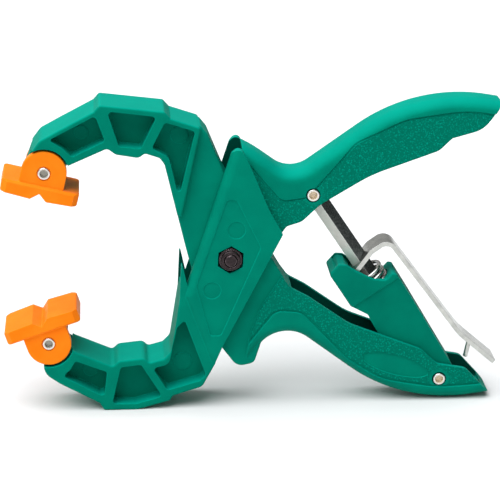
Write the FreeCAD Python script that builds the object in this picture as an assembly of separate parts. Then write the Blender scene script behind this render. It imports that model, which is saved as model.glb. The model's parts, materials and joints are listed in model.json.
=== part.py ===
import FreeCAD, Part
import math
import os

# Friction-locking spring clamp, in millimetres.
#
# It is drawn in the plane of the jaws: X runs from the jaws to the handles, Z is up and Y goes
# from the nut side (minus) to the bolt-head side (plus). Everything is first placed about the
# main pivot. The last step moves it so that the middle of its base is the origin.

os.makedirs("parts", exist_ok=True)
V = FreeCAD.Vector

# ---- pivots, seen from the nut side ------------------------------------------------------
PIVOT = (0.0, 0.0)
STRUT_PIN = (36.1, 27.6)
HOUSING_PIN = (93.3, -59.1)
UPPER_PAD_PIN = (-79.8, 40.1)
LOWER_PAD_PIN = (-79.8, -37.4)
GROUND = -69.2
CLOSE_DEG = 33.0

# ---- half widths, across the clamp --------------------------------------------------------
JAW = 12.0
CHEEK_OUT = 13.5
CHEEK_IN = 9.0
CORE = 8.6
GRIP = 10.2
CHANNEL = 7.7
TONGUE = 7.8
PAD = 13.0
EAR_OUT = 11.5
EAR_IN = 8.2

# ---- walls and edges ------------------------------------------------------------------------
GRIP_ROOF = 3.2
ROOF_ROUND = 2.2
CROWN_WIDE = 7.4
CROWN_DEEP = 5.0
GRIP_STEP = 0.3
GROOVE_WIDE = 0.9
GROOVE_DEEP = 0.7
ARC_REACH = 0.5523
POCKET_DEPTH = 8.0
EDGE_R = 0.9
PAD_CLEAR_R = 10.9
TONGUE_R = 5.2

# ---- fasteners ------------------------------------------------------------------------------
M6_R = 3.0
M6_HEX = 10.0
HEX_POCKET = 11.0
RUN = 0.06
RIVET_R = 2.3
RIVET_LIP_R = 2.65
RIVET_HEAD_R = 3.9
RIVET_HOLE_R = 1.75

# ---- strut, lock spring and lever -------------------------------------------------------------
STRUT_SIDE = 5.66
STRUT_LENGTH = 64.0
SPRING_WIRE = 1.8
SPRING_R = 6.2
SPRING_FOOT = 44.3
SPRING_TOP = 60.2
SPRING_TURNS = 5.5
HEAD_HALF = 9.0
STEM_HALF = 7.3
LEVER_T = 2.0
LEVER_HALF = 6.5
TORSION_WIRE = 1.7
TORSION_R = 7.4

# ---- the line that the strut slides on: a is measured from the housing pin, p across it ---------
RUN_X = STRUT_PIN[0] - HOUSING_PIN[0]
RUN_Z = STRUT_PIN[1] - HOUSING_PIN[1]
SPAN = math.hypot(RUN_X, RUN_Z)
ALONG = (RUN_X / SPAN, RUN_Z / SPAN)
ACROSS = (ALONG[1], -ALONG[0])


def on_line(p, a):
    """Place of a point that lies p across and a along the strut's line, as (x, z)."""
    return (HOUSING_PIN[0] + p * ACROSS[0] + a * ALONG[0],
            HOUSING_PIN[1] + p * ACROSS[1] + a * ALONG[1])


def line_corners(corners):
    """Corners (p, a, radius) beside the strut's line as corners (x, z, radius)."""
    return [(*on_line(p, a), r) for p, a, r in corners]


def polar(centre, radius, degrees):
    """A point round a centre."""
    return (centre[0] + radius * math.cos(math.radians(degrees)),
            centre[1] + radius * math.sin(math.radians(degrees)))


# ---- drawing tools --------------------------------------------------------------------------
def path_edges(corners, closed):
    """Straight runs joined by tangent arcs through corners (x, z, radius)."""
    count = len(corners)
    stops = []
    for i, (x, z, r) in enumerate(corners):
        here = V(x, 0, z)
        if r == 0 or (not closed and i in (0, count - 1)):
            stops.append((here, None, here))
            continue
        back = V(corners[i - 1][0], 0, corners[i - 1][1]) - here
        ahead = V(corners[(i + 1) % count][0], 0, corners[(i + 1) % count][1]) - here
        half = back.getAngle(ahead) / 2
        back.normalize()
        ahead.normalize()
        middle = back + ahead
        middle.normalize()
        reach = r / math.tan(half)
        nearest = middle * (r / math.sin(half) - r)
        stops.append((here + back * reach, here + nearest, here + ahead * reach))
    edges = []
    for i, (start, via, end) in enumerate(stops):
        if via is not None:
            edges.append(Part.Arc(start, via, end).toShape())
        if closed or i < count - 1:
            following = stops[(i + 1) % count][0]
            if end.distanceToPoint(following) > 1e-4:
                edges.append(Part.LineSegment(end, following).toShape())
    return edges


def slab(corners, low, high):
    """A plate with the given outline, from Y = low to Y = high."""
    wire = Part.Wire(path_edges(corners, True))
    face = Part.Face(wire)
    plate = face.extrude(V(0, high - low, 0))
    plate.translate(V(0, low, 0))
    return plate


def plate(corners, half):
    """A plate with the given outline, centred on the middle plane."""
    return slab(corners, -half, half)


def rod(centre, radius, low, high):
    """A round rod across the clamp."""
    return Part.makeCylinder(radius, high - low, V(centre[0], low, centre[1]), V(0, 1, 0))


def hexagon(centre, flats, low, high, turn=0.0):
    """A six-sided prism across the clamp, with a corner at the top when turn is 0."""
    radius = flats / math.sqrt(3)
    points = [polar(centre, radius, 90 + turn + 60 * k) for k in range(6)]
    return slab([(x, z, 0) for x, z in points], low, high)


def softened(solid, radius, planes):
    """The solid with the edges that lie in the given Y planes rounded."""
    picked = []
    for edge in solid.Edges:
        box = edge.BoundBox
        flat = box.YLength < 1e-6
        if flat and any(abs(box.YMin - y) < 1e-6 for y in planes):
            picked.append(edge)
    return solid.makeFillet(radius, picked)


def fused(first, *others):
    """One solid from several that overlap."""
    return first.fuse(list(others)).removeSplitter()


def swept(corners, profile):
    """A closed profile swept along a path. Its points are (y, depth to the right of the path)."""
    spine = Part.Wire(path_edges(corners, False))
    start = V(corners[0][0], 0, corners[0][1])
    heading = V(corners[1][0], 0, corners[1][1]) - start
    heading.normalize()
    inward = V(heading.z, 0, -heading.x)
    edges = []
    for points in profile:
        at = [start + V(0, y, 0) + inward * depth for y, depth in points]
        if len(at) > 2:
            curve = Part.BezierCurve()
            curve.setPoles(at)
            edges.append(curve.toShape())
        else:
            edges.append(Part.LineSegment(*at).toShape())
    return spine.makePipeShell([Part.Wire(edges)], True, False)


def bar_profile(half, top, wide, deep, depth):
    """Section of a bar: flat top, two quarter-ellipse shoulders and straight sides."""
    flat, low = half - wide, top + deep
    right = [(flat, top), (flat + ARC_REACH * wide, top), (half, low - ARC_REACH * deep), (half, low)]
    left = [(-y, down) for y, down in reversed(right)]
    return [[left[-1], right[0]], right, [right[-1], (half, depth)],
            [(half, depth), (-half, depth)], [(-half, depth), left[0]], left]


def grip(crown_path, groove_path, outline, hollow):
    """A channel-section handle: a rounded bar trimmed to an outline, grooved and hollowed."""
    bar = swept(crown_path, bar_profile(GRIP, 0, CROWN_WIDE, CROWN_DEEP, 34.0))
    inner = swept(crown_path, bar_profile(CHANNEL, GRIP_ROOF, ROOF_ROUND, ROOF_ROUND, 36.0))
    body = bar.common(plate(outline, 20))
    sides = groove_path + [(groove_path[-1][0], 0, 0), (groove_path[0][0], 0, 0)]
    groove = strip(groove_path, GROOVE_WIDE)
    for region, depth in ((sides, GRIP_STEP), (groove, GROOVE_DEEP)):
        body = body.cut(slab(region, -20, -GRIP + depth))
        body = body.cut(slab(region, GRIP - depth, 20))
    return body.cut(inner.common(plate(hollow, 20)))


def pocketed(solid, pockets, half):
    """The solid with pockets sunk into both of its faces, leaving a web."""
    for corners in pockets:
        for low, high in ((-half - 2, -half + POCKET_DEPTH), (half - POCKET_DEPTH, half + 2)):
            solid = solid.cut(slab(corners, low, high))
    return solid


def raised_discs(solid, centres, web):
    """Low round ejector pads on both sides of a pocket's web."""
    for x, z, r in centres:
        solid = solid.fuse(rod((x, z), r, -web - 0.35, web + 0.35))
    return solid


def jaw_block(outline, pin):
    """A jaw: full width behind its pad, and a thinner tongue between the pad's ears."""
    jaw = softened(plate(outline, JAW), EDGE_R, (-JAW, JAW))
    jaw = jaw.cut(rod(pin, PAD_CLEAR_R, -20, 20))
    middle = plate(outline, TONGUE).fuse(rod(pin, TONGUE_R, -TONGUE, TONGUE))
    return jaw.fuse(middle).removeSplitter()


# ---- arm with the lower jaw, the two cheeks and the upper handle -------------------------------
LOWER_JAW = [
    (-82.6, -44.0, 3), (-82.0, -51.5, 7), (-75.4, -56.2, 10), (-58.0, -65.9, 1.5),
    (-56.2, GROUND, 1.5), (-41.0, GROUND, 4), (-27.0, -65.4, 1.5), (-25.8, -63.3, 1),
    (-12.6, -59.2, 4), (-6.5, -48.0, 2), (-18.0, -17.5, 1.5), (-21.6, -14.0, 0.5),
    (-26.2, -42.4, 4), (-29.4, -45.6, 2), (-36.0, -47.4, 2), (-38.4, -45.1, 3),
    (-49.3, -46.2, 3), (-52.0, -48.7, 2), (-68.6, -41.4, 0.5), (-76.0, -36.0, 0.5),
]
LOWER_POCKETS = [
    [(-68.4, -45.5, 1), (-54.6, -51.0, 1.5), (-56.0, -62.8, 1.5), (-74.2, -52.6, 1.5),
     (-70.6, -49.4, 2)],
    [(-48.6, -49.0, 1.5), (-39.6, -48.0, 1.5), (-30.4, -63.2, 1.5), (-42.0, -66.4, 1.5),
     (-52.6, -66.2, 1.5)],
    [(-23.6, -31.0, 1), (-20.2, -27.5, 1), (-11.0, -53.6, 2), (-13.6, -56.2, 1.5),
     (-28.2, -60.4, 1.5), (-34.6, -49.8, 1.5), (-27.4, -48.2, 4)],
]
LOWER_DISCS = [(-61.9, -52.4, 3.2), (-21.0, -49.6, 4.0)]
CHEEK = [
    (4.4, 50.6, 2.5), (8.0, 43.5, 40), (16.8, 21.9, 30), (22.8, 11.2, 1.2),
    (-3.4, -39.2, 30), (-8.3, -50.6, 0.8), (-20.7, -16.6, 1.2), (0.6, 47.6, 2.5),
]
CHEEK_BEVEL = 4.0
CHEEK_PANEL = [
    (-1.6, 27.4, 2.2), (2.6, 27.4, 2.2), (13.2, 5.4, 1.6), (-4.4, -34.8, 2.0), (-9.2, -34.8, 2.0),
    (-15.2, -11.6, 2.0),
]
CHEEK_MARKS = [(2.6, 13.5), (-8.2, -13.8)]
MARK_R = 3.9
PANEL_DEPTH = 0.35
UPPER_HANDLE_CROWN = [
    (3.0, 51.2, 0), (9.5, 48.1, 60), (27.1, 35.2, 12.5), (82.4, 73.9, 76.0), (124.0, 66.0, 0),
]
UPPER_GROOVE = [
    (6.0, 44.4, 0), (22.4, 25.1, 5), (33.6, 26.6, 6), (54.6, 50.6, 12), (76.0, 60.6, 30),
    (103.0, 64.2, 50), (122.0, 60.6, 0),
]
UPPER_HANDLE = [
    (4.6, 56.0, 0), (40.0, 62.0, 0), (104.0, 78.0, 0), (118.8, 74.0, 0), (117.6, 66.0, 12),
    (109.5, 55.6, 12), (96.2, 52.0, 1.5), (90.6, 46.6, 7), (61.2, 36.3, 60), (39.0, 23.2, 20),
    (31.2, 15.8, 6),
    (24.6, 13.8, 3), (21.6, 9.6, 0), (18.8, 12.8, 0), (14.0, 23.0, 20), (6.0, 43.5, 0),
]
UPPER_HANDLE_HOLLOW = [
    (26.5, 42.0, 0), (40.0, 66.0, 0), (102.0, 78.0, 0), (114.6, 68.0, 0), (104.0, 50.0, 0),
    (70.0, 20.0, 0), (28.0, 4.0, 0), (24.2, 24.0, 0),
]
BOSS_R = 9.0
NUT_SEAT = 8.6
HEAD_SEAT = 9.2
BOSS_IN = 6.4


def lower_jaw_arm():
    """Lower jaw, both cheeks and the upper handle, moulded in one."""
    arm = pocketed(jaw_block(LOWER_JAW, LOWER_PAD_PIN), LOWER_POCKETS, JAW)
    arm = raised_discs(arm, LOWER_DISCS, JAW - POCKET_DEPTH)
    for side in (-1, 1):
        cheek = cheek_plate(side)
        boss = rod(PIVOT, BOSS_R, *sorted((side * BOSS_IN, side * 10)))
        horn = slab([(-22.6, -24.0, 0), (-21.4, -0.2, 0.3), (-18.0, -16.0, 0), (-17.0, -24.0, 0)],
                    *sorted((side * CHEEK_IN, side * JAW)))
        arm = arm.fuse([cheek, boss, horn])
    arm = arm.fuse(grip(UPPER_HANDLE_CROWN, UPPER_GROOVE, UPPER_HANDLE, UPPER_HANDLE_HOLLOW))
    arm = arm.cut(hexagon(PIVOT, HEX_POCKET, -CHEEK_OUT - 1, -NUT_SEAT, -3))
    arm = arm.cut(hexagon(PIVOT, M6_HEX + 0.3, HEAD_SEAT, CHEEK_OUT + 1))
    arm = arm.cut(rod(PIVOT, M6_R + RUN, -20, 20))
    arm = arm.cut(rivet_bore(STRUT_PIN, GRIP - GRIP_STEP))
    arm = arm.cut(rod(LOWER_PAD_PIN, RIVET_R + RUN, -20, 20))
    arm = arm.cut(torsion_leg(ARM_LEG, LEG_SPARE))
    return arm.removeSplitter()


def cheek_plate(side):
    """One outer cheek: its two left edges are broadly rounded and its face has a sunk panel."""
    face = side * CHEEK_OUT
    cheek = slab(CHEEK, *sorted((side * CHEEK_IN, face)))
    cheek = cheek.cut(edge_rounding(CHEEK[6], CHEEK[7], face, CHEEK_BEVEL))
    cheek = cheek.cut(edge_rounding(CHEEK[5], CHEEK[6], face, CHEEK_BEVEL))
    cheek = cheek.cut(slab(CHEEK_PANEL, *sorted((face - side * PANEL_DEPTH, face + side))))
    for mark in CHEEK_MARKS:
        low, high = sorted((face - side * 2 * PANEL_DEPTH, face))
        cheek = cheek.cut(rod(mark, MARK_R, low, high))
    return cheek


def edge_rounding(start, end, face, radius):
    """What a rounded edge takes away, along a straight outline edge with the solid on its right."""
    start, end = V(start[0], 0, start[1]), V(end[0], 0, end[1])
    heading = end - start
    length = heading.Length
    heading.normalize()
    inward = V(heading.z, 0, -heading.x)
    depth = V(0, -math.copysign(1, face), 0)
    origin = start - heading * 6 + V(0, face, 0)
    corners = [origin + inward * a + depth * b for a, b in
               ((-2, -1), (radius, -1), (radius, 0), (0, radius), (-2, radius))]
    middle = origin + inward * radius * (1 - math.sqrt(0.5)) + depth * radius * (1 - math.sqrt(0.5))
    edges = [Part.LineSegment(corners[0], corners[1]).toShape(),
             Part.LineSegment(corners[1], corners[2]).toShape(),
             Part.Arc(corners[2], middle, corners[3]).toShape(),
             Part.LineSegment(corners[3], corners[4]).toShape(),
             Part.LineSegment(corners[4], corners[0]).toShape()]
    return Part.Face(Part.Wire(edges)).extrude(heading * (length + 12))


def rivet_bore(pin, half):
    """The hole for a rivet through two walls, with a shallow seat at each end."""
    seat = 0.7
    hole = rod(pin, RIVET_R + RUN, -20, 20)
    front = rod(pin, RIVET_LIP_R + 0.6, -20, -half + seat)
    back = rod(pin, RIVET_HEAD_R + 0.3, half - seat, 20)
    return hole.fuse([front, back])


# ---- arm with the upper jaw, the centre plate and the lower handle ------------------------------
UPPER_JAW = [
    (-88.6, 39.6, 2), (-84.9, 49.8, 6), (-81.2, 54.7, 5), (-72.7, 59.3, 10), (-58.0, 67.0, 1.5),
    (-55.6, 69.8, 1.5), (-28.0, 66.4, 1.5), (-25.4, 63.4, 1), (-12.4, 59.0, 1.5), (-16.6, 40.0, 0), (-21.0, 19.6, 0),
    (-22.9, 20.2, 0.3), (-28.2, 43.2, 4), (-30.2, 46.0, 2), (-36.5, 48.2, 2), (-39.2, 46.2, 3),
    (-48.9, 47.9, 3), (-52.6, 50.6, 2), (-69.4, 43.3, 0.5), (-76.0, 36.0, 0.5),
]
UPPER_POCKETS = [
    [(-77.2, 55.0, 0.8), (-57.4, 65.3, 1.5), (-53.4, 54.0, 1.5), (-67.6, 47.3, 1.2),
     (-71.4, 50.9, 12)],
    [(-52.4, 67.2, 1.5), (-31.2, 64.4, 1.5), (-38.2, 50.4, 1.5), (-47.6, 51.6, 1.5)],
    [(-27.8, 62.0, 1.5), (-14.9, 57.6, 1.5), (-21.4, 31.2, 1), (-23.0, 31.6, 1),
     (-26.2, 46.2, 4), (-33.6, 50.6, 1.5)],
]
UPPER_DISCS = [(-63.6, 56.2, 3.0), (-21.5, 54.2, 3.8)]
CORE_PLATE = [
    (-24.0, 57.5, 0), (-24.0, 62.4, 0), (-12.4, 59.0, 2), (-9.4, 55.2, 3), (-2.4, 38.0, 40),
    (17.4, 0.4, 0), (24.6, -12.0, 0), (20.0, -30.0, 0), (13.6, -40.5, 0), (10.6, -49.8, 3.2),
    (3.0, -51.4, 5), (-5.0, -40.5, 12), (-15.2, -12.0, 10), (-19.4, 5.0, 12), (-23.0, 20.4, 0),
]
LOWER_HANDLE_CROWN = [(126.0, -66.0, 0), (77.9, -72.85, 74.0), (22.5, -30.5, 14.7), (7.6, -49.87, 0)]
LOWER_GROOVE = [
    (2.0, -47.5, 0), (19.8, -24.6, 7), (31.5, -25.8, 8), (51.8, -47.9, 12), (67.0, -58.1, 30),
    (92.0, -62.8, 60), (126.0, -60.8, 0),
]
LOWER_HANDLE = [
    (22.8, -9.4, 0), (26.6, -14.7, 6), (34.2, -18.9, 6), (52.6, -32.1, 30), (85.0, -45.0, 8),
    (92.2, -52.0, 6), (105.2, -54.4, 5), (117.0, -67.6, 2.5), (112.0, -74.0, 0), (20.0, -80.0, 0),
    (6.4, -50.4, 0), (8.6, -36.0, 30), (13.4, -23.7, 30),
]
LOWER_HANDLE_HOLLOW = [
    (29.0, -8.0, 0), (60.0, -20.0, 0), (110.0, -40.0, 0), (113.0, -66.0, 0), (100.0, -80.0, 0),
    (50.0, -80.0, 0), (24.5, -38.0, 0), (25.6, -20.0, 0),
]
THUMB_OVAL = {"centre": (73.5, -51.9), "long": 15.5, "short": 4.6, "lean": -17.0, "depth": 0.5}
CAVITY_R = 9.6
CAVITY_HALF = 4.2
BOSS_CLEAR_R = 9.4
BOSS_CLEAR_IN = 6.1


def upper_jaw_arm():
    """Upper jaw, the centre plate between the cheeks and the lower handle, moulded in one."""
    jaw = jaw_block(UPPER_JAW, UPPER_PAD_PIN)
    core = softened(plate(CORE_PLATE, CORE), 0.8, (-CORE, CORE))
    arm = pocketed(fused(jaw, core), UPPER_POCKETS, JAW)
    arm = raised_discs(arm, UPPER_DISCS, JAW - POCKET_DEPTH)
    arm = arm.fuse(grip(LOWER_HANDLE_CROWN, LOWER_GROOVE, LOWER_HANDLE, LOWER_HANDLE_HOLLOW))
    for side in (-1, 1):
        arm = arm.cut(rod(PIVOT, BOSS_CLEAR_R, *sorted((side * BOSS_CLEAR_IN, side * 20))))
    arm = arm.cut(rod(PIVOT, CAVITY_R, -CAVITY_HALF, CAVITY_HALF))
    arm = arm.cut(leg_room())
    arm = arm.cut(torsion_leg(CORE_LEG, LEG_SPARE))
    arm = arm.cut(rod(PIVOT, M6_R + RUN, -20, 20))
    arm = arm.cut(rod(UPPER_PAD_PIN, RIVET_R + RUN, -20, 20))
    arm = arm.cut(rivet_bore(HOUSING_PIN, GRIP - GRIP_STEP))
    for side in (-1, 1):
        arm = arm.cut(thumb_oval(side))
    return arm.removeSplitter()


def thumb_oval(side):
    """The shallow oval panel in the side of the lower handle."""
    x, z = THUMB_OVAL["centre"]
    lean = math.radians(THUMB_OVAL["lean"])
    ellipse = Part.Ellipse(V(0, 0, 0), THUMB_OVAL["long"], THUMB_OVAL["short"]).toShape()
    oval = Part.Face(Part.Wire(ellipse)).extrude(V(0, 0, 4))
    oval.rotate(V(0, 0, 0), V(1, 0, 0), 90)
    oval.rotate(V(0, 0, 0), V(0, -1, 0), math.degrees(lean))
    wall = GRIP - GRIP_STEP - THUMB_OVAL["depth"]
    oval.translate(V(x, wall + 4 if side > 0 else -wall, z))
    return oval


# ---- pads ------------------------------------------------------------------------------------------
PAD_REACH = 16.8
PAD_OUTLINE = [
    (-PAD_REACH, -5.6, 0.6), (-PAD_REACH, -11.2, 0.8), (-3.5, -11.8, 0.4), (0.0, -8.8, 0.4),
    (3.5, -11.8, 0.4), (PAD_REACH, -11.2, 0.8), (PAD_REACH, -5.6, 0.6),
]
PAD_CORNER = 2.2
FRONT_EAR_R = 9.8
BACK_EAR_R = 8.2


def pad(pin, turn, flip):
    """A V-notched swivel pad: a deep base slab and two ears round the jaw's tongue."""
    base = plate(PAD_OUTLINE, PAD)
    for x in (-PAD_REACH, PAD_REACH):
        for y in (-PAD, PAD):
            post = Part.makeBox(PAD_CORNER * 1.42, PAD_CORNER * 1.42, 20)
            post.translate(V(-PAD_CORNER * 0.71, -PAD_CORNER * 0.71, -15))
            post.rotate(V(0, 0, 0), V(0, 0, 1), 45)
            post.translate(V(x, y, 0))
            base = base.cut(post)
    ledge = [e for e in base.Edges if abs(e.BoundBox.ZMax + 5.6) < 1e-3
             and e.BoundBox.ZLength < 1e-3 and e.BoundBox.XLength > 20]
    base = base.makeChamfer(0.9, ledge)
    body = base
    for side, r in ((-1, FRONT_EAR_R), (1, BACK_EAR_R)):
        low, high = sorted((side * EAR_IN, side * EAR_OUT))
        ear = slab([(-r, -6.4, 0), (-r, r, r - 0.01), (r, r, r - 0.01), (r, -6.4, 0)], low, high)
        body = body.fuse(softened(ear, 0.5, (side * EAR_OUT,)))
    body = body.cut(rod((0, 0), RIVET_R + RUN, -20, 20))
    body = body.cut(rod((0, 0), RIVET_LIP_R + 0.45, -20, -EAR_OUT + 0.5))
    body = body.cut(rod((0, 0), RIVET_HEAD_R - 0.1, EAR_OUT - 0.7, 20))
    body = body.removeSplitter()
    if flip:
        body = body.mirror(V(0, 0, 0), V(0, 0, 1))
    body.rotate(V(0, 0, 0), V(0, -1, 0), turn)
    body.translate(V(pin[0], 0, pin[1]))
    return body


# ---- rivets ------------------------------------------------------------------------------------------
def rivet(pin, half):
    """Semi-tubular rivet: domed head at the back, flared hollow end at the front."""
    shank = rod(pin, RIVET_R, -half - 0.35, half)
    head = rod(pin, RIVET_HEAD_R - 0.4, half - 0.6, half + 0.7)
    head = softened(head, 0.8, (half + 0.7,))
    lip = rod(pin, RIVET_LIP_R, -half - 0.35, -half + 0.45)
    lip = softened(lip, 0.35, (-half - 0.35,))
    body = fused(shank, head, lip)
    return body.cut(rod(pin, RIVET_HOLE_R, -half - 1, -half + 1.6))


# ---- pivot bolt and nut -----------------------------------------------------------------------------
NUT_HEIGHT = 6.0
COLLAR_R = 4.35
BOLT_END = 15.0


def pivot_bolt():
    """M6 hexagon bolt, head sunk in the back cheek."""
    head = hexagon(PIVOT, M6_HEX, HEAD_SEAT, HEAD_SEAT + 4.0)
    dome = Part.makeCone(6.6, 4.9, 1.7, V(0, HEAD_SEAT + 2.3, 0), V(0, 1, 0))
    lower = hexagon(PIVOT, M6_HEX, HEAD_SEAT, HEAD_SEAT + 2.3)
    head = lower.fuse(head.common(dome))
    shank = rod(PIVOT, M6_R, -BOLT_END + 0.8, HEAD_SEAT)
    point = Part.makeCone(M6_R - 0.6, M6_R, 0.8, V(0, -BOLT_END, 0), V(0, 1, 0))
    return fused(head, shank, point)


def pivot_lock_nut():
    """M6 lock nut: chamfered hexagon and a round collar that holds the nylon ring."""
    low = -NUT_SEAT - 4.2
    body = hexagon(PIVOT, M6_HEX, low, -NUT_SEAT, -3)
    cone = Part.makeCone(4.9, 6.6, 1.6, V(0, low, 0), V(0, 1, 0))
    rest = rod(PIVOT, 8, low + 1.6, -NUT_SEAT)
    body = body.common(cone.fuse(rest))
    collar = rod(PIVOT, COLLAR_R, -NUT_SEAT - NUT_HEIGHT, low + 0.5)
    collar = softened(collar, 0.7, (-NUT_SEAT - NUT_HEIGHT,))
    nut = fused(body, collar)
    nut = nut.cut(rod(PIVOT, M6_R + RUN, -20, 20))
    return nut.cut(rod(PIVOT, 3.8, -NUT_SEAT - NUT_HEIGHT + 0.35, low + 0.3))


def lock_nut_insert():
    """Nylon ring in the nut's collar."""
    low, high = -NUT_SEAT - NUT_HEIGHT + 0.45, -NUT_SEAT - 4.0
    ring = rod(PIVOT, 3.75, low, high)
    return ring.cut(rod(PIVOT, M6_R + 0.02, low - 1, high + 1))


# ---- springs -----------------------------------------------------------------------------------------
TORSION_PITCH = 1.95
LEG_SPARE = 0.35
ARM_LEG = {"angle": 150.0, "side": -1, "length": 38.0}
CORE_LEG = {"angle": 215.0, "side": 1, "length": 17.0}
TORSION_TURNS = 3 + (CORE_LEG["angle"] - ARM_LEG["angle"]) / 360
LEG_Y = TORSION_TURNS * TORSION_PITCH / 2
TORSION_RISE = TORSION_PITCH / (2 * math.pi * TORSION_R)


def coil(radius, wire, pitch, height):
    """A right-handed round-wire coil about +Z, starting at +X."""
    helix = Part.makeHelix(pitch, height, radius, 0, False)
    section = Part.Wire(Part.makeCircle(wire / 2, V(radius, 0, 0), V(0, 1, 0)))
    return Part.Wire(helix).makePipeShell([section], True, True)


def leg_line(leg):
    """Where a leg of the pivot spring leaves the coil, and its direction along the tangent."""
    x, z = polar(PIVOT, TORSION_R, leg["angle"])
    toward = math.radians(leg["angle"] + leg["side"] * 90)
    heading = V(math.cos(toward), leg["side"] * TORSION_RISE, math.sin(toward))
    heading.normalize()
    return V(x, leg["side"] * LEG_Y, z), heading


def torsion_leg(leg, spare):
    """The room that a leg of the pivot spring takes, with some play round it."""
    start, heading = leg_line(leg)
    return Part.makeCylinder(TORSION_WIRE / 2 + spare, leg["length"], start, heading)


def leg_room():
    """The fan-shaped slot in the centre plate that the handle-side leg sweeps through."""
    def edge_point(radius, angle, distance):
        x, z = polar(PIVOT, radius, angle)
        toward = math.radians(angle - 90)
        return (x + distance * math.cos(toward), z + distance * math.sin(toward), 0)

    far = 34.0
    left, right = ARM_LEG["angle"] + 2, ARM_LEG["angle"] - CLOSE_DEG - 3
    outline = [edge_point(TORSION_R + 1.4, left, 0), edge_point(TORSION_R + 1.4, left, far),
               edge_point(TORSION_R - 1.4, right, far), edge_point(TORSION_R - 1.4, right, 0),
               (*PIVOT, 0)]
    drift = ARM_LEG["length"] * TORSION_RISE
    return slab(outline, -LEG_Y - drift - 1.2, -LEG_Y + 1.2)


def pivot_torsion_spring():
    """Coil round the pivot with one leg in each arm: it opens the jaws."""
    helix = Part.makeHelix(TORSION_PITCH, TORSION_TURNS * TORSION_PITCH, TORSION_R, 0, True)
    helix.rotate(V(0, 0, 0), V(1, 0, 0), -90)
    helix.rotate(V(0, 0, 0), V(0, -1, 0), ARM_LEG["angle"])
    helix.translate(V(0, -LEG_Y, 0))
    first, back = leg_line(ARM_LEG)
    last, ahead = leg_line(CORE_LEG)
    tip = first + back * ARM_LEG["length"]
    run = [Part.LineSegment(tip, first).toShape(), *helix.Edges,
           Part.LineSegment(last, last + ahead * CORE_LEG["length"]).toShape()]
    section = Part.Wire(Part.makeCircle(TORSION_WIRE / 2, tip, back))
    return Part.Wire(run).makePipeShell([section], True, False)


# ---- strut -------------------------------------------------------------------------------------------
EYE_HALF = 3.0
EYE_P = 5.8
EYE_NECK = 2.6
SLOT_P = 1.75
SLOT_A = 0.55


def strut_bar():
    """Square bar standing on its corner, with a flattened eye on the upper rivet."""
    half = STRUT_SIDE / math.sqrt(2)
    low = SPAN - STRUT_LENGTH
    section = [on_line(half, low), on_line(0, low), on_line(-half, low)]
    right, middle, left = (V(x, 0, z) for x, z in section)
    points = [right, middle + V(0, half, 0), left, middle - V(0, half, 0), right]
    bar = Part.Face(Part.makePolygon(points))
    reach = STRUT_LENGTH - 3.2
    bar = bar.extrude(V(ALONG[0] * reach, 0, ALONG[1] * reach))
    eye = plate(line_corners([(-EYE_P, SPAN - 3.9, 1.2), (-EYE_P, SPAN + 5.0, 3.5),
                              (EYE_P, SPAN + 5.0, 3.5), (EYE_P, SPAN - 3.9, 1.2),
                              (EYE_NECK, SPAN - 3.9, 0), (EYE_NECK, SPAN - 7.0, 1),
                              (-EYE_NECK, SPAN - 7.0, 1), (-EYE_NECK, SPAN - 3.9, 0)]), EYE_HALF)
    r = RIVET_R + SLOT_A
    side = SLOT_P - SLOT_A
    slot = plate(line_corners([(-side, SPAN - r, 0), (side, SPAN - r, 0),
                               (side, SPAN + r, 0), (-side, SPAN + r, 0)]), 10)
    ends = [rod(on_line(p, SPAN), r, -10, 10) for p in (-side, side)]
    return fused(bar, eye).cut(slot.fuse(ends)).removeSplitter()


# ---- strut housing ------------------------------------------------------------------------------------
HOUSING = [
    (-7.8, 1.5, 6), (-11.2, 28.0, 30), (-10.6, 40.0, 1.5), (-10.1, 43.2, 1), (-14.2, 51.2, 1.5),
    (-14.0, 69.0, 1.6), (-8.0, 70.6, 1.2), (-5.4, 68.6, 1.5), (-3.6, 64.0, 4), (0.9, 56.2, 3),
    (5.0, 52.6, 2.5), (9.2, 53.6, 0.8), (10.6, 52.4, 1.2), (10.2, 40.0, 60), (8.0, 0.0, 5),
    (4.6, -5.2, 4), (-4.2, -4.2, 4),
]
LIP = [(-13.2, 60.7, 0), (-13.2, 68.4, 1.4), (-8.0, 70.2, 1.2), (-5.8, 68.2, 1), (-5.6, 63.3, 0.8)]
HEAD_LOW = 50.8
STEM_HIGH = 50.2
STEM_LOW = 36.0
STEM_TOP_HALF = 8.1


def along_rod(radius, low, high, p=0.0):
    """A round rod on the strut's line."""
    x, z = on_line(p, low)
    return Part.makeCylinder(radius, high - low, V(x, 0, z), V(ALONG[0], 0, ALONG[1]))


def strut_housing():
    """Pivoting block that guides the strut, seats the lock spring and hooks the lever's foot."""
    body = softened(plate(line_corners(HOUSING), HEAD_HALF), 0.7, (-HEAD_HALF, HEAD_HALF))
    for side in (-1, 1):
        cut = [V(0, side * HEAD_HALF, HEAD_LOW), V(0, side * STEM_TOP_HALF, STEM_HIGH),
               V(0, side * STEM_HALF, STEM_LOW), V(0, side * STEM_HALF, -20.0),
               V(0, side * 20, -20.0), V(0, side * 20, HEAD_LOW), V(0, side * HEAD_HALF, HEAD_LOW)]
        wedge = Part.Face(Part.makePolygon(cut)).extrude(V(40, 0, 0))
        wedge.translate(V(-20, 0, 0))
        body = body.cut(to_line(wedge))
    room = plate(line_corners([(-10.4, 56.0, 0), (-10.4, 80.0, 0), (14.0, 80.0, 0),
                               (14.0, 59.4, 0), (8.2, 59.4, 0), (8.2, 56.0, 0)]), LEVER_HALF + 0.4)
    body = body.cut(room)
    body = body.fuse(plate(line_corners(LIP), LEVER_HALF + 0.6))
    body = body.cut(along_rod(7.5, 43.6, 61.0))
    body = body.cut(along_rod(4.35, 9.0, 50.0))
    body = body.cut(rod(HOUSING_PIN, RIVET_R + RUN, -20, 20))
    return body.removeSplitter()


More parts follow.
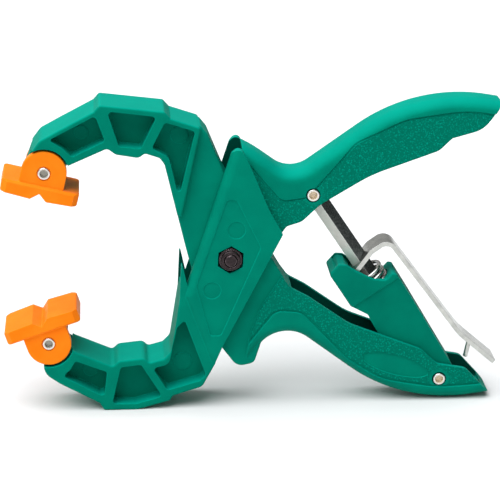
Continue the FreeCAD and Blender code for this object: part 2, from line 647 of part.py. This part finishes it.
def to_line(shape):
    """Take a shape from its own frame, X across and Z along, onto the strut's line."""
    lean = math.degrees(math.atan2(ACROSS[1], ACROSS[0]))
    shape.rotate(V(0, 0, 0), V(0, -1, 0), lean)
    shape.translate(V(HOUSING_PIN[0], 0, HOUSING_PIN[1]))
    return shape


# ---- release lever --------------------------------------------------------------------------------------
LEVER_LINE = [(-9.4, 60.4, 0), (6.6, 66.4, 5), (15.9, 66.6, 4.5), (18.8, 11.5, 28), (24.4, -8.6, 0)]


def offset_path(corners, shift):
    """A path moved sideways by shift, with its radii kept concentric."""
    moved = []
    for i, (x, z, r) in enumerate(corners):
        before = corners[max(i - 1, 0)]
        after = corners[min(i + 1, len(corners) - 1)]
        turns = []
        for (x0, z0, _), (x1, z1, _) in ((before, (x, z, r)), ((x, z, r), after)):
            length = math.hypot(x1 - x0, z1 - z0)
            if length > 0:
                turns.append((-(z1 - z0) / length, (x1 - x0) / length))
        nx = sum(t[0] for t in turns) / len(turns)
        nz = sum(t[1] for t in turns) / len(turns)
        scale = shift / (nx * nx + nz * nz)
        bend = turns[0][0] * turns[-1][1] - turns[0][1] * turns[-1][0]
        radius = 0 if r == 0 else r - math.copysign(1, bend) * shift
        moved.append((x + nx * scale, z + nz * scale, radius))
    return moved


def strip(corners, thickness):
    """Outline of bent sheet metal round a centre line."""
    one = offset_path(corners, thickness / 2)
    other = offset_path(corners, -thickness / 2)
    return one + other[::-1]


def release_lever():
    """Bent steel strip: foot round the strut, hump, long arm and a turned-out end."""
    outline = line_corners(strip(LEVER_LINE, LEVER_T))
    lever = plate(outline, LEVER_HALF)
    half = STRUT_SIDE / math.sqrt(2) + 0.55
    x, z = on_line(0, 50)
    points = [V(x + half * ACROSS[0], 0, z + half * ACROSS[1]), V(x, half, z),
              V(x - half * ACROSS[0], 0, z - half * ACROSS[1]), V(x, -half, z)]
    hole = Part.Face(Part.makePolygon(points + points[:1]))
    hole = hole.extrude(V(ALONG[0] * 30, 0, ALONG[1] * 30))
    lever = lever.cut(hole)
    return lever.cut(lever_stop_stud())


def lever_stop_stud():
    """Short round peg under the lever's end, which stops the lever on the housing."""
    top, low = V(107.75, 0, -45.2), V(106.4, 0, -52.3)
    heading = low - top
    length = heading.Length
    heading.normalize()
    stud = Part.makeCylinder(1.1, length, top, heading)
    ends = [e for e in stud.Edges if e.BoundBox.ZMax < low.z + 0.8]
    return stud.makeFillet(0.5, ends)


# ---- everything together ----------------------------------------------------------------------------------
def lock_spring():
    """Compression coil between the housing's shelf and the lever's foot."""
    height = SPRING_TOP - SPRING_FOOT - SPRING_WIRE
    spring = coil(SPRING_R, SPRING_WIRE, height / SPRING_TURNS, height)
    spring.translate(V(0, 0, SPRING_FOOT + SPRING_WIRE / 2))
    return to_line(spring)


nodes = {
    "lower_jaw_arm": lower_jaw_arm(),
    "upper_jaw_arm": upper_jaw_arm(),
    "pivot_bolt": pivot_bolt(),
    "pivot_lock_nut": pivot_lock_nut(),
    "lock_nut_insert": lock_nut_insert(),
    "pivot_torsion_spring": pivot_torsion_spring(),
    "upper_pad": pad(UPPER_PAD_PIN, -14.0, False),
    "lower_pad": pad(LOWER_PAD_PIN, 18.4, True),
    "upper_pad_rivet": rivet(UPPER_PAD_PIN, EAR_OUT),
    "lower_pad_rivet": rivet(LOWER_PAD_PIN, EAR_OUT),
    "strut_rivet": rivet(STRUT_PIN, GRIP - GRIP_STEP),
    "housing_rivet": rivet(HOUSING_PIN, GRIP - GRIP_STEP),
    "strut_bar": strut_bar(),
    "strut_housing": strut_housing(),
    "release_lever": release_lever(),
    "lever_stop_stud": lever_stop_stud(),
    "lock_spring": lock_spring(),
}

box = FreeCAD.BoundBox()
for shape in nodes.values():
    box.add(shape.optimalBoundingBox())
shift = V(-box.Center.x, -box.Center.y, -box.ZMin)
for name, shape in nodes.items():
    shape.translate(shift)
    shape.exportStep(f"parts/{name}.step")
    print(name, len(shape.Solids), shape.isValid(), round(shape.Volume, 1))
print("pivot at", [round(v, 3) for v in shift], "size", box.XLength, box.YLength, box.ZLength)
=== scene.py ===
import json
import math

import bpy
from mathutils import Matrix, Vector


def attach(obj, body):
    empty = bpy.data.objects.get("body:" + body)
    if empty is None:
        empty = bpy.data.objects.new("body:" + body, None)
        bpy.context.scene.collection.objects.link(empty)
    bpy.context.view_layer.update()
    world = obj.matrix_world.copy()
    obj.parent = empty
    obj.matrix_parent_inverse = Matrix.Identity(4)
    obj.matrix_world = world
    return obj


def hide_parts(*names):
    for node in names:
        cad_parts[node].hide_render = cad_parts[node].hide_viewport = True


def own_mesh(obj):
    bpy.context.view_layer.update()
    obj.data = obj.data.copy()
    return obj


# Looks of the spring clamp: materials, light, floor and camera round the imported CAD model.

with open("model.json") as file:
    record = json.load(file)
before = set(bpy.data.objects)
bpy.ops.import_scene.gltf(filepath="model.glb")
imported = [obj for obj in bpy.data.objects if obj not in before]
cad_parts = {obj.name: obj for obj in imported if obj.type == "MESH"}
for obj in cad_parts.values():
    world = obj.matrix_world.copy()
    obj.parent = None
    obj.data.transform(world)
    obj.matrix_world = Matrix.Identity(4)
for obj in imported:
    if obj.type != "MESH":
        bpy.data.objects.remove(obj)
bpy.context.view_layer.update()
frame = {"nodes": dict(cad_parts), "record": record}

MM = 0.001
JOINTS = {joint["name"]: joint for joint in frame["record"]["behaviour"]["joints"]}


def joint_place(name):
    """Where a joint's axis crosses the clamp's middle plane, in metres."""
    return Vector(JOINTS[name]["pos_m"])


PIVOT = joint_place("main_pivot")


def from_pivot(x, z, y=0.0):
    """A place given in millimetres from the main pivot."""
    return PIVOT + Vector((x, y, z)) * MM


STRUT_PIN = from_pivot(36.1, 27.6)
HOUSING_PIN = joint_place("housing_pivot")

# Distances from a rivet's axis, in metres.
HOLLOW_EDGE = (2.1 * MM, 1.85 * MM)
SEAT_SHADE = (3.4 * MM, 2.9 * MM)
SMOOTH_RING = (4.3 * MM, 4.7 * MM)

GRIP_SIDE = 9.9 * MM
GRIP_SIDE_TOLERANCE = 0.08 * MM
INNER_WALL = (-2 * MM, -4 * MM)
PEBBLES_PER_METRE = 1250
STREAKS_PER_METRE = (1500, 1500, 1500)
STRUT_SHADED_SIDE = (0.59, -0.707, 0.389)


# ---- node helpers ---------------------------------------------------------------------------
class Nodes:
    """Short ways to add shader nodes to one material."""

    def __init__(self, name):
        self.material = bpy.data.materials.new(name)
        self.material.use_nodes = True
        self.tree = self.material.node_tree
        self.surface = self.tree.nodes["Principled BSDF"]
        self.place = self.add("ShaderNodeTexCoord").outputs["Object"]

    def add(self, kind, **settings):
        node = self.tree.nodes.new(kind)
        for key, value in settings.items():
            setattr(node, key, value)
        return node

    def feed(self, socket, value):
        if isinstance(value, bpy.types.NodeSocket):
            self.tree.links.new(value, socket)
        else:
            socket.default_value = value

    def math(self, operation, *values):
        node = self.add("ShaderNodeMath", operation=operation)
        for socket, value in zip(node.inputs, values):
            self.feed(socket, value)
        return node.outputs[0]

    def vector(self, operation, *values):
        node = self.add("ShaderNodeVectorMath", operation=operation)
        for socket, value in zip(node.inputs, values):
            self.feed(socket, value)
        return node.outputs["Value" if operation in ("DOT_PRODUCT", "LENGTH") else "Vector"]

    def axis(self, value, letter):
        node = self.add("ShaderNodeSeparateXYZ")
        self.feed(node.inputs[0], value)
        return node.outputs[letter]

    def geometry(self, output):
        return self.add("ShaderNodeNewGeometry").outputs[output]

    def noise(self, scale, detail=2.0, roughness=0.5, place=None):
        node = self.add("ShaderNodeTexNoise")
        self.feed(node.inputs["Vector"], place or self.place)
        node.inputs["Scale"].default_value = scale
        node.inputs["Detail"].default_value = detail
        node.inputs["Roughness"].default_value = roughness
        return node.outputs["Fac"]

    def span(self, value, low, high, to_low=0.0, to_high=1.0):
        node = self.add("ShaderNodeMapRange", clamp=True)
        self.feed(node.inputs["Value"], value)
        node.inputs["From Min"].default_value = low
        node.inputs["From Max"].default_value = high
        node.inputs["To Min"].default_value = to_low
        node.inputs["To Max"].default_value = to_high
        return node.outputs["Result"]

    def mix(self, factor, first, second):
        node = self.add("ShaderNodeMix", data_type="RGBA")
        self.feed(node.inputs["Factor"], factor)
        first_colour, second_colour = [socket for socket in node.inputs if socket.type == "RGBA"]
        self.feed(first_colour, first)
        self.feed(second_colour, second)
        return next(socket for socket in node.outputs if socket.type == "RGBA")

    def bump(self, height, strength, distance, normal=None):
        node = self.add("ShaderNodeBump")
        node.inputs["Strength"].default_value = strength
        node.inputs["Distance"].default_value = distance
        self.feed(node.inputs["Height"], height)
        if normal is not None:
            self.feed(node.inputs["Normal"], normal)
        return node.outputs["Normal"]

    def soft_edge(self, radius):
        node = self.add("ShaderNodeBevel", samples=6)
        node.inputs["Radius"].default_value = radius
        return node.outputs["Normal"]

    def edge(self, rounded):
        """How far a rounded-edge normal leans from the face's own: 0 on flats, 1 at edges."""
        agree = self.vector("DOT_PRODUCT", rounded, self.geometry("Normal"))
        return self.span(agree, 1.0, 0.86)

    def beside(self, pin):
        """How far a place lies from a pin's axis, which runs across the clamp."""
        offset = self.vector("SUBTRACT", self.place, tuple(pin))
        return self.vector("LENGTH", self.vector("MULTIPLY", offset, (1, 0, 1)))

    def off_centre(self):
        """How far a place lies from the clamp's middle plane, with its sign."""
        return self.math("SUBTRACT", self.axis(self.place, "Y"), PIVOT.y)

    def set(self, **values):
        for key, value in values.items():
            self.feed(self.surface.inputs[key.replace("_", " ")], value)


def rgb(red, green, blue):
    """A colour from 0 to 255 sRGB values, as linear RGBA."""
    def linear(value):
        value /= 255
        return value / 12.92 if value <= 0.04045 else ((value + 0.055) / 1.055) ** 2.4
    return (linear(red), linear(green), linear(blue), 1.0)


# ---- materials ------------------------------------------------------------------------------
def grip_grain(n, rivet):
    """Where the grips' sides are grained, and the pebbles themselves, each from 0 to 1."""
    on_side = n.math("COMPARE", n.math("ABSOLUTE", n.off_centre()), GRIP_SIDE, GRIP_SIDE_TOLERANCE)
    sideways = n.axis(n.geometry("True Normal"), "Y")
    facing = n.math("GREATER_THAN", n.math("ABSOLUTE", sideways), 0.98)
    clear = n.span(n.beside(rivet), *SMOOTH_RING)
    grained = n.math("MULTIPLY", n.math("MULTIPLY", on_side, facing), clear)
    cells = n.add("ShaderNodeTexVoronoi", feature="F1")
    n.feed(cells.inputs["Vector"], n.place)
    cells.inputs["Scale"].default_value = PEBBLES_PER_METRE
    dots = n.span(cells.outputs["Distance"], 0.2, 0.55, 1.0, 0.0)
    patchy = n.span(n.noise(900, 2), 0.38, 0.6)
    return grained, n.math("MULTIPLY", dots, patchy)


def inward_walls(n):
    """1 on walls that face the clamp's middle plane, as inside the hollow handles; the mask for the
    painted shade there.
    """
    facing = n.axis(n.geometry("True Normal"), "Y")
    return n.span(n.math("MULTIPLY", facing, n.off_centre()), *INNER_WALL)


def green_plastic(name, rivet=None, light=1.0):
    """Satin moulded green: soft edges, faint mottling and pebble grain on the grips' sides, with
    painted light: upward faces painted lighter, painted highlights on edges and painted shade on the
    handles' inner walls.
    """
    n = Nodes(name)
    rounded = n.soft_edge(0.6 * MM)
    mottle = n.span(n.noise(90, 3), 0.35, 0.65)
    body = n.mix(mottle, rgb(0, 118 * light, 97 * light), rgb(0, 126 * light, 103 * light))
    # Painted light: faces that turn upwards are painted lighter, towards a bright teal, as if lit
    # from above.
    upward = n.axis(n.geometry("Normal"), "Z")
    body = n.mix(n.span(upward, 0.3, 0.95, 0.0, 0.42), body, rgb(0, 170, 152))
    # Painted highlight: rounded edges are painted a lighter teal.
    colour = n.mix(n.math("MULTIPLY", n.edge(rounded), 0.6), body, rgb(0, 170, 144))
    # Painted shade: walls that face the middle plane, inside the hollow handles, are painted dark
    # green.
    colour = n.mix(n.math("MULTIPLY", inward_walls(n), 0.8), colour, rgb(0, 52, 44))
    satin = n.noise(2600, 2)
    height = n.math("MULTIPLY", satin, 0.12)
    if rivet is not None:
        grained, pebble = grip_grain(n, rivet)
        speckled = n.mix(pebble, rgb(0, 108, 88), rgb(0, 150, 126))
        colour = n.mix(grained, colour, speckled)
        colour = n.mix(n.span(n.beside(rivet), *SEAT_SHADE), colour, rgb(0, 62, 52))
        height = n.math("ADD", height, n.math("MULTIPLY", grained, pebble))
    n.set(Base_Color=colour, Roughness=n.span(satin, 0.3, 0.7, 0.54, 0.64),
          Specular_IOR_Level=0.03, Specular_Tint=(0.25, 1.0, 0.9, 1.0),
          Normal=n.bump(height, 0.7, 0.16 * MM, rounded))
    return n.material


def orange_plastic(name):
    """Satin moulded orange with soft edges that carry a slightly lighter painted highlight."""
    n = Nodes(name)
    rounded = n.soft_edge(0.5 * MM)
    mottle = n.span(n.noise(110, 3), 0.35, 0.65)
    body = n.mix(mottle, rgb(255, 124, 14), rgb(255, 132, 22))
    # Painted highlight: rounded edges are painted a lighter orange.
    colour = n.mix(n.math("MULTIPLY", n.edge(rounded), 0.4), body, rgb(255, 164, 40))
    satin = n.noise(2400, 2)
    n.set(Base_Color=colour, Roughness=n.span(satin, 0.3, 0.7, 0.42, 0.52),
          Specular_IOR_Level=0.1, Specular_Tint=(1.0, 0.75, 0.35, 1.0),
          Normal=n.bump(satin, 0.12, 0.05 * MM, rounded))
    return n.material


def plated_steel(name, light, dark, roughness, edge_radius=0.25, shaded=None, metallic=1.0):
    """Plated steel: blotchy tone, painted highlights on soft edges and, on faces turned towards
    shaded, painted dark shade with a streaky grain.
    """
    n = Nodes(name)
    rounded = n.soft_edge(edge_radius * MM)
    blotch = n.span(n.noise(220, 4, 0.6), 0.3, 0.7)
    fine = n.noise(3800, 3, 0.6)
    tone = n.mix(blotch, dark, light)
    if shaded is not None:
        # Painted shade: faces turned towards the shaded side are painted a dark streaky grey.
        facing = n.vector("DOT_PRODUCT", n.geometry("Normal"), shaded)
        streaks = n.noise(1.0, 3, 0.6, n.vector("MULTIPLY", n.place, STREAKS_PER_METRE))
        shade_tone = n.mix(n.span(streaks, 0.35, 0.65), rgb(40, 44, 44), rgb(96, 100, 98))
        tone = n.mix(n.span(facing, 0.2, 0.5), tone, shade_tone)
    # Painted highlight: rounded edges are painted near white.
    colour = n.mix(n.math("MULTIPLY", n.edge(rounded), 0.5), tone, rgb(245, 246, 246))
    n.set(Base_Color=colour, Metallic=metallic, Roughness=n.span(fine, 0.3, 0.7, *roughness),
          Normal=n.bump(fine, 0.1, 0.02 * MM, rounded))
    return n.material


def black_oxide(name):
    """Black oxide on steel, a little brown, with painted highlights on the edges."""
    n = Nodes(name)
    rounded = n.soft_edge(0.3 * MM)
    blotch = n.noise(700, 4, 0.6)
    tone = n.mix(n.span(blotch, 0.3, 0.7), rgb(36, 30, 31), rgb(62, 53, 55))
    # Painted highlight: rounded edges are painted a lighter greyish mauve.
    colour = n.mix(n.math("MULTIPLY", n.edge(rounded), 0.75), tone, rgb(168, 150, 154))
    n.set(Base_Color=colour, Metallic=0.9, Roughness=n.span(blotch, 0.3, 0.7, 0.26, 0.4),
          Normal=n.bump(blotch, 0.1, 0.03 * MM, rounded))
    return n.material


def black_nylon(name):
    """The lock nut's nylon ring."""
    n = Nodes(name)
    fine = n.noise(1500, 3)
    tone = n.mix(n.span(fine, 0.3, 0.7), rgb(34, 28, 29), rgb(50, 42, 43))
    n.set(Base_Color=tone, Roughness=n.span(fine, 0.3, 0.7, 0.45, 0.6),
          Normal=n.bump(fine, 0.15, 0.03 * MM))
    return n.material


def rivet_steel(name, centre, hollow):
    """A bright plated rivet with a duller, tinted hollow in its end."""
    n = Nodes(name)
    rounded = n.soft_edge(0.2 * MM)
    inside = n.span(n.beside(centre), *HOLLOW_EDGE)
    fine = n.noise(3200, 3, 0.6)
    plate = n.mix(n.span(fine, 0.3, 0.7), rgb(214, 210, 206), rgb(236, 234, 230))
    n.set(Base_Color=n.mix(inside, plate, hollow), Metallic=n.span(inside, 0.0, 1.0, 1.0, 0.2),
          Roughness=n.span(fine, 0.3, 0.7, 0.22, 0.34), Normal=n.bump(fine, 0.1, 0.02 * MM, rounded))
    return n.material


def paint(material, *nodes):
    """Give every face of these CAD nodes one material."""
    for node in nodes:
        mesh = frame["nodes"][node].data
        mesh.materials.clear()
        mesh.materials.append(material)


paint(orange_plastic("orange_plastic"), "upper_pad", "lower_pad")
paint(plated_steel("zinc_steel", rgb(206, 206, 200), rgb(176, 177, 172), (0.24, 0.36)),
      "release_lever", "lever_stop_stud")
paint(plated_steel("spring_steel", rgb(206, 206, 202), rgb(180, 180, 176), (0.2, 0.32), 0.1),
      "lock_spring", "pivot_torsion_spring")
paint(black_oxide("black_steel"), "pivot_bolt", "pivot_lock_nut")
paint(green_plastic("green_nylon_upper_grip", STRUT_PIN), "lower_jaw_arm")
paint(green_plastic("green_nylon_lower_grip", HOUSING_PIN), "upper_jaw_arm")
paint(green_plastic("green_nylon_housing", light=0.93), "strut_housing")
paint(plated_steel("strut_steel", rgb(255, 250, 244), rgb(242, 236, 228), (0.3, 0.42),
                   shaded=STRUT_SHADED_SIDE, metallic=0.35), "strut_bar")
paint(black_nylon("black_nylon"), "lock_nut_insert")

BRASSY, GREY = rgb(224, 208, 182), rgb(180, 176, 164)
RIVETS = {
    "upper_pad_rivet": (joint_place("upper_pad_swivel"), GREY),
    "lower_pad_rivet": (joint_place("lower_pad_swivel"), GREY),
    "strut_rivet": (STRUT_PIN, BRASSY),
    "housing_rivet": (HOUSING_PIN, BRASSY),
}
for rivet_node, (rivet_centre, hollow_colour) in RIVETS.items():
    paint(rivet_steel("rivet_" + rivet_node, rivet_centre, hollow_colour), rivet_node)


# ---- the lock spring, carried by the lock housing ---------------------------------------------
def pressed_spring():
    """A copy of the lock spring, which stands on the housing's shelf under the lever, carried by the
    lock housing in place of the hidden original.
    """
    source = frame["nodes"]["lock_spring"]
    coil = bpy.data.objects.new("lock_spring_coil", source.data.copy())
    bpy.context.collection.objects.link(coil)
    coil.matrix_world = source.matrix_world.copy()
    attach(coil, "lock_housing")
    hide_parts("lock_spring")
    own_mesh(coil)


pressed_spring()


# ---- floor, light and camera ------------------------------------------------------------------
LIGHT_WAY = (0.30, 0.22, -1.0)
LIGHT_SPREAD = math.radians(70)
LIGHT_STRENGTH = 4.4
WORLD_STRENGTH = (0.45, 0.05)
VIEW_AZIMUTH, VIEW_ELEVATION = math.radians(4.0), math.radians(18.0)
VIEW_DISTANCE = 0.968
LENS, SENSOR = 158.4, 36.0


def pale_floor():
    """A plain pale floor that the clamp stands on."""
    bpy.ops.mesh.primitive_plane_add(size=6)
    floor = bpy.context.object
    floor.name = "floor"
    n = Nodes("floor_white")
    fine = n.noise(30, 2)
    n.set(Base_Color=n.mix(fine, (0.74, 0.74, 0.74, 1), (0.77, 0.77, 0.77, 1)), Roughness=0.9,
          Specular_IOR_Level=0.1)
    floor.data.materials.append(n.material)


def studio_world():
    """Even pale light that is dimmer on the right, so that bright metal has something to show."""
    world = bpy.data.worlds.new("studio")
    bpy.context.scene.world = world
    world.use_nodes = True
    nodes, links = world.node_tree.nodes, world.node_tree.links
    way = nodes.new("ShaderNodeTexCoord")
    split = nodes.new("ShaderNodeSeparateXYZ")
    links.new(way.outputs["Generated"], split.inputs[0])
    side = nodes.new("ShaderNodeMapRange")
    side.inputs["From Min"].default_value = 0.1
    side.inputs["From Max"].default_value = 0.85
    side.inputs["To Min"].default_value, side.inputs["To Max"].default_value = WORLD_STRENGTH
    links.new(split.outputs["X"], side.inputs["Value"])
    background = nodes["Background"]
    links.new(side.outputs["Result"], background.inputs["Strength"])
    background.inputs["Color"].default_value = (1.0, 1.0, 1.0, 1.0)


def overhead_light():
    """One very large soft light, high up and a little to the left and front."""
    lamp = bpy.data.lights.new("overhead", "SUN")
    lamp.angle = LIGHT_SPREAD
    lamp.energy = LIGHT_STRENGTH
    lamp.color = (0.98, 1.0, 1.02)
    holder = bpy.data.objects.new("overhead", lamp)
    bpy.context.collection.objects.link(holder)
    holder.rotation_euler = Vector(LIGHT_WAY).to_track_quat("-Z", "Y").to_euler()


def camera():
    """A long lens from the front, slightly left and above."""
    target = from_pivot(9.27, 0.34, -0.54)
    away = Vector((-math.sin(VIEW_AZIMUTH) * math.cos(VIEW_ELEVATION),
                   -math.cos(VIEW_AZIMUTH) * math.cos(VIEW_ELEVATION),
                   math.sin(VIEW_ELEVATION)))
    data = bpy.data.cameras.new("camera")
    data.lens = LENS
    data.sensor_width = SENSOR
    data.clip_end = 20
    holder = bpy.data.objects.new("camera", data)
    bpy.context.collection.objects.link(holder)
    holder.location = target + away * VIEW_DISTANCE
    holder.rotation_euler = (-away).to_track_quat("-Z", "Y").to_euler()
    bpy.context.scene.camera = holder


pale_floor()
studio_world()
overhead_light()
camera()
bpy.context.scene.view_settings.view_transform = "Standard"
